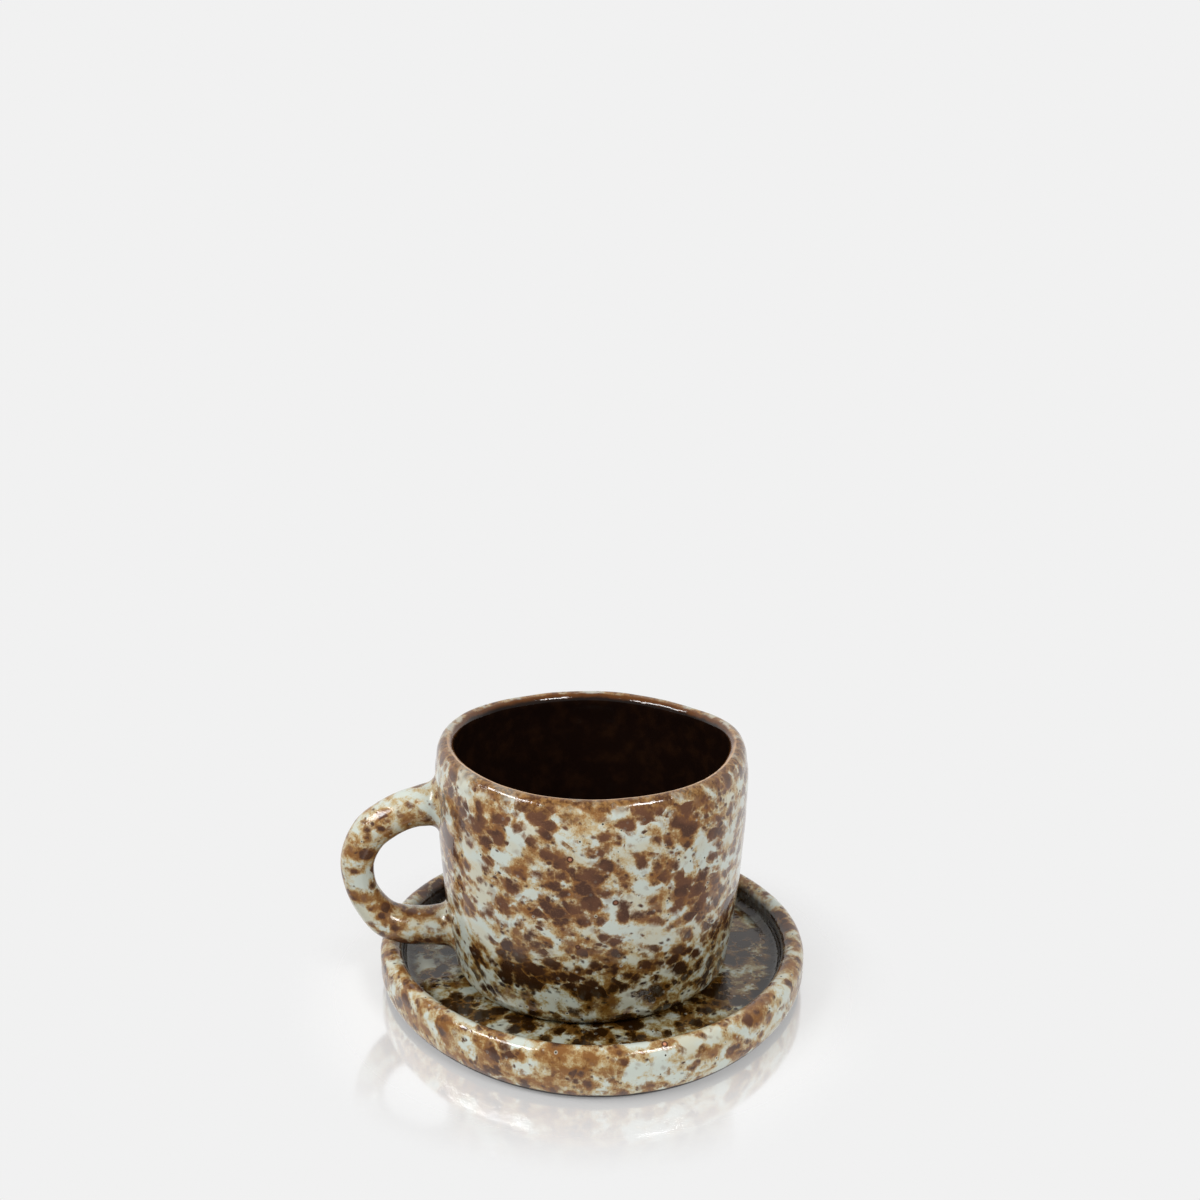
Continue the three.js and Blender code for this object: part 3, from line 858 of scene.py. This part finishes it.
handleMarks = {
    "seen": {},
    "placed": {
        "brown": ((-38, -11, 42, 4.4), (-43, -11, 41, 3), (-47, -11, 41, 2.4), (-50, -11, 39, 1.8),
            (-37, -10, 54, 2.6), (-58, -11, 27, 2.2), (-59, -11, 34, 1.8), (-55, -12, 37, 1.6),
            (-50, -11, 21, 2.8), (-46, -11, 21, 2.6), (-42, -11, 21, 2.8), (-48, -10, 14, 2.2),
            (-43, -10, 14, 2.6), (-39, -10, 14, 3.2)),
        "pale": ((-42, -13, 18, 1.6), (-57, -11, 23, 2.2), (-52, -11, 43, 1.8), (-55, -9, 45, 2.5),
            (-43, -9, 50, 2.2), (-50, -8, 49, 2), (-56, -12, 31, 1.6)),
        "sand": ((-46, -11, 47, 2.2), (-58, -11, 39, 2.5), (-53, -12, 26, 2.2), (-48, -13, 18, 2))},
}
coil = {  # millimetres, heights from the face that the cup stands on
    "turn": 187, "reach": 57.7, "root": 33, "topHeight": 44, "lowHeight": 10.3,
    "endThickness": 9.4, "midThickness": 7.5, "endWidth": 10, "midWidth": 8.8,
    "thinnest": 0.57, "thinning": 0.27, "flare": 1.2, "flareLength": 6, "fillet": 2.2,
    "dentDepth": 0.18, "dentSize": 9, "dentStart": 3,  # the dents grow over this way out from the wall
    "wallRadius": 38,  # where the fillet's spread is measured
    "sink": 0.1, "lastSink": 0.5,  # how far the fillet's edge and its last ring go into the wall
    "deepest": 1,  # the coil is followed this far into the wall
    "leans": (-0.29, 0.34),
    "stepsAround": 72, "filletSteps": 12, "stepsAlong": 130, "curveSteps": 40, "evenSteps": 600,
    # the middle line from the upper joint to the lower: share of the way out, share of the way down
    "places": ((0, 0), (0.34, 0.03), (0.51, 0.06), (0.7, 0.125), (0.88, 0.23), (1, 0.43), (0.98, 0.64),
               (0.88, 0.8), (0.74, 0.92), (0.53, 0.98), (0, 1)),
}


# The coil's middle line in its plane: smooth, with sharper turns kept where places lie close
def coilLine():
    places = np.array([(coil["root"] + (coil["reach"] - coil["root"]) * out,
                        coil["topHeight"] + (coil["lowHeight"] - coil["topHeight"]) * down)
                       for out, down in coil["places"]])
    padded = np.concatenate([[2 * places[0] - places[1]], places, [2 * places[-1] - places[-2]]])
    line = []
    for i in range(1, len(padded) - 2):
        before, start, end, after = padded[i - 1:i + 3]
        first, second, third = (np.sqrt(np.hypot(*gap))
                                for gap in (start - before, end - start, after - end))
        leave = ((start - before) / first - (end - before) / (first + second)
                 + (end - start) / second) * second
        arrive = ((end - start) / second - (after - start) / (second + third)
                  + (after - end) / third) * second
        for share in np.linspace(0, 1, coil["curveSteps"], endpoint=False):
            line.append(curvePoint(start, end, leave, arrive, share))
    line = np.array(line + [places[-1]])
    run = runAlong(line)
    even = np.linspace(0, run[-1], coil["evenSteps"])
    return np.stack([np.interp(even, run, line[:, k]) for k in (0, 1)], 1), even


def smoothStep(value, low, high):
    share = np.clip((value - low) / (high - low), 0, 1)
    return share * share * (3 - 2 * share)


outline = cupOutside()
wallLine = outline[outline[:, 1] > sameSpot - cup["footDrop"]]


def wallRadius(angle, height):
    plain = np.interp(height, wallLine[:, 1], wallLine[:, 0])
    up = np.clip(height / cup["height"], 0, 1)
    low, high = waves(cup["footLobes"], angle), waves(cup["topLobes"], angle)
    return plain * (1 + low + (high - low) * up)


# The coil's thickness and width along its run: thinnest past the middle, flaring at the wall
def coilSizes(run):
    fullness = smoothStep(np.abs(run / run[-1] - coil["thinnest"]), 0, coil["thinning"])
    turn = math.radians(coil["turn"])
    fromWall = [way - wallRadius(turn, coil[end]) + coil["root"]
                for way, end in ((run, "topHeight"), (run[-1] - run, "lowHeight"))]
    flare = coil["flare"] * (1 - smoothStep(np.minimum(*fromWall), 0, coil["flareLength"]))
    return [coil["mid" + size] + (coil["end" + size] - coil["mid" + size]) * fullness + flare
            for size in ("Thickness", "Width")]


# One line of the coil's skin from wall to wall, with a fillet at each end that spreads on the wall
def coilRow(line, flat, height):
    fillet, turn = coil["fillet"], math.radians(coil["turn"])
    angle = np.unwrap(np.arctan2(flat[:, 1], flat[:, 0]) % (2 * math.pi))
    gap = np.hypot(*flat.T) - wallRadius(angle, height)
    steps = np.arange(len(line))

    def place(time, spread=0, sink=0, away=None):
        at, up, middleUp, farAway = (np.interp(time, steps, values)
                                     for values in (angle, height, line[:, 1], gap))
        if spread:
            lean = np.array([(at - turn) * coil["wallRadius"], up - middleUp])
            lean *= spread / np.hypot(*lean)
            at += lean[0] / coil["wallRadius"]
            up += lean[1]
        reach = wallRadius(at, up) + (farAway if away is None else away) - sink
        return reach * math.cos(at), reach * math.sin(at), up

    furthest = int(np.argmax(gap))
    limits, ends = [], []
    for half in (slice(furthest, None, -1), slice(furthest, None)):
        ordered = gap[half]
        stop = np.argmax(ordered < -coil["deepest"]) or len(ordered)
        times, nearing = steps[half][:stop], -np.minimum.accumulate(ordered[:stop])
        limits.append(np.interp(-fillet, nearing, times))
        end = []
        for share in np.linspace(0, 1, coil["filletSteps"] + 1):
            bend = share * math.pi / 2
            away = fillet * (1 - math.sin(bend))
            end.append(place(np.interp(-away, nearing, times), fillet * (1 - math.cos(bend)),
                             coil["sink"] * share ** 2, away))
        end.append(place(np.interp(0, nearing, times), fillet, coil["lastSink"], 0))
        ends.append(end)
    middle = np.linspace(*limits, coil["stepsAlong"] + 1)[1:-1]
    return ends[0][::-1] + [place(time) for time in middle] + ends[1]


def makeHandle():
    line, run = coilLine()
    tangent = np.gradient(line, axis=0)
    tangent /= np.hypot(*tangent.T)[:, None]
    normal = np.stack([tangent[:, 1], -tangent[:, 0]], 1)
    thickness, width = coilSizes(run)
    turn = math.radians(coil["turn"])
    outward = np.array([math.cos(turn), math.sin(turn)])
    across = np.array([-outward[1], outward[0]])
    count = coil["stepsAround"]
    rows = []
    for j in range(count):
        side = 2 * math.pi * j / count
        inPlane = line + normal * (math.cos(side) * thickness / 2)[:, None]
        flat = outward * inPlane[:, :1] + across * (math.sin(side) * width / 2)[:, None]
        rows.append(coilRow(line, flat, inPlane[:, 1]))
    grid = np.array(rows)
    corners = np.concatenate([grid.reshape(-1, 3), grid[:, [0, -1]].mean(0)])
    length = grid.shape[1]
    middles = count * length
    faces = []
    for j in range(count):
        here, after = j * length, (j + 1) % count * length
        faces += [(here + i, here + i + 1, after + i + 1, after + i) for i in range(length - 1)]
        faces += [(middles, here, after), (middles + 1, after + length - 1, here + length - 1)]
    mesh = bpy.data.meshes.new("cupHandle")
    mesh.from_pydata(((corners + np.array(cup["axis"])) * mm).tolist(), [], faces)
    mesh.update()
    return mesh


# Turns the faces outward and gives the coil soft dents, none where it meets the wall
def settleHandle(mesh):
    shell = bmesh.new()
    shell.from_mesh(mesh)
    bmesh.ops.recalc_face_normals(shell, faces=shell.faces)
    shell.normal_update()
    for corner in shell.verts:
        place = corner.co / mm
        local = place - Vector(cup["axis"])
        gap = math.hypot(local.x, local.y) - wallRadius(math.atan2(local.y, local.x), local.z)
        depth = coil["dentDepth"] * mm * float(smoothStep(gap, 0, coil["dentStart"]))
        corner.co += corner.normal * (noise.noise(place / coil["dentSize"]) * depth)
    shell.to_mesh(mesh)
    shell.free()
    for face in mesh.polygons:
        face.use_smooth = True


handleMaterial = newMaterial("handleGlaze")
handleMesh = makeHandle()
settleHandle(handleMesh)
handleMesh.materials.append(handleMaterial)
cupHandle = addObject("cupHandle", handleMesh)
print("cupHandle:", len(handleMesh.vertices), "corners")
markLeans(cupHandle, handleMarks, *coil["leans"])
handleGlaze(handleMaterial.node_tree)
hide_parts("cup_handle")
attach(cupHandle, "cup")

# Camera, at the photograph's place and angle

def makeCamera():
    right, up, ahead = cameraAxes()
    data = bpy.data.cameras.new("camera")
    data.lens = camera["lens"]
    data.sensor_width = camera["sensor"]
    data.clip_start, data.clip_end = camera["clip"]
    eye = addObject("camera", data)
    turn = Matrix((right, up, -ahead)).transposed().to_4x4()
    eye.matrix_world = Matrix.Translation(camera["place"]) @ turn
    bpy.context.scene.camera = eye


makeCamera()

# Floor, background and lamps

studio = {
    "background": "#f1f1f1", "fill": "#ffffff", "fillStrength": 0.5,
    "frontGlow": 0.3, "glowEdge": (-0.1, 0.5),  # the background mirrored from the front is dimmer
    "floorColour": "#f1f1f1", "floorRadius": 0.6, "floorDrop": 0.00005, "floorEdge": (0.055, 0.08),
    "floorGlow": 0.4, "floorGloss": 0.36, "floorRoughness": 0.1,
    # where each lamp hangs, its width and length in metres, and its brightness
    "lamps": (
        ("lampLeft", (-0.63, -0.29, 0.60), (0.60, 0.13), 5.2),
        ("lampRight", (0.43, -0.51, 0.62), (0.30, 0.12), 3.6),
    ),
}


def makeWorld():
    world = bpy.data.worlds.new("studio")
    bpy.context.scene.world = world
    world.use_nodes = True
    tree = world.node_tree
    tree.nodes.clear()
    rays = addNode(tree, "ShaderNodeLightPath").outputs
    seen = calc(tree, "ADD", rays["Is Camera Ray"], rays["Is Glossy Ray"])
    seen = calc(tree, "ADD", seen, rays["Is Transmission Ray"], clamp=True)
    toward = addNode(tree, "ShaderNodeTexCoord").outputs["Generated"]
    back = fade(tree, parts(tree, toward)[1], *studio["glowEdge"])
    mirrored = calc(tree, "MULTIPLY_ADD", back, 1 - studio["frontGlow"], studio["frontGlow"])
    strength = calc(tree, "MAXIMUM", rays["Is Camera Ray"], mirrored)
    lights = ((studio["fill"], studio["fillStrength"]), (studio["background"], strength))
    fill, shown = (
        outFrom(tree, "ShaderNodeBackground", {"Color": paint(colour), "Strength": power})
        for colour, power in lights)
    both = mixShader(tree, seen, fill, shown)
    addNode(tree, "ShaderNodeOutputWorld", {"Surface": both})


def makeFloor():
    material = newMaterial("paleFloor")
    tree = material.node_tree
    tree.nodes.clear()
    place = objectPlace(tree)
    far = addNode(tree, "ShaderNodeVectorMath", {0: place}, operation="LENGTH").outputs["Value"]
    colour = paint(studio["floorColour"])
    dull = outFrom(tree, "ShaderNodeBsdfDiffuse", {"Color": colour})
    glow = outFrom(tree, "ShaderNodeEmission", {"Color": colour})
    mirror = outFrom(tree, "ShaderNodeBsdfGlossy",
                     {"Color": (1, 1, 1, 1), "Roughness": studio["floorRoughness"]})
    white = mixShader(tree, studio["floorGlow"], dull, glow)
    seen = addNode(tree, "ShaderNodeLightPath").outputs["Is Camera Ray"]
    gloss = product(tree, seen, studio["floorGloss"])
    surface = mixShader(tree, gloss, white, mirror)
    away = outFrom(tree, "ShaderNodeBsdfTransparent")
    gone = fade(tree, far, *studio["floorEdge"])
    # from below the floor is clear, so that the undersides can be seen
    gone = calc(tree, "MAXIMUM", gone, addNode(tree, "ShaderNodeNewGeometry").outputs["Backfacing"])
    both = mixShader(tree, gone, surface, away)
    addNode(tree, "ShaderNodeOutputMaterial", {"Surface": both})
    reach, drop = studio["floorRadius"], studio["floorDrop"]
    mesh = bpy.data.meshes.new("floor")
    corners = [(x * reach, y * reach, -drop) for x, y in ((-1, -1), (1, -1), (1, 1), (-1, 1))]
    mesh.from_pydata(corners, [], [(0, 1, 2, 3)])
    mesh.materials.append(material)
    floor = addObject("floor", mesh)


def makeLamps():
    for name, place, (width, length), watts in studio["lamps"]:
        data = bpy.data.lights.new(name, "AREA")
        data.shape = "RECTANGLE"
        data.size, data.size_y = width, length
        data.energy = watts
        lamp = addObject(name, data)
        lamp.location = place
        lamp.rotation_euler = (-Vector(place)).to_track_quat("-Z", "Y").to_euler()


makeWorld()
makeFloor()
makeLamps()
bpy.context.scene.view_settings.view_transform = "Standard"
print("camera, floor and lamps are in")
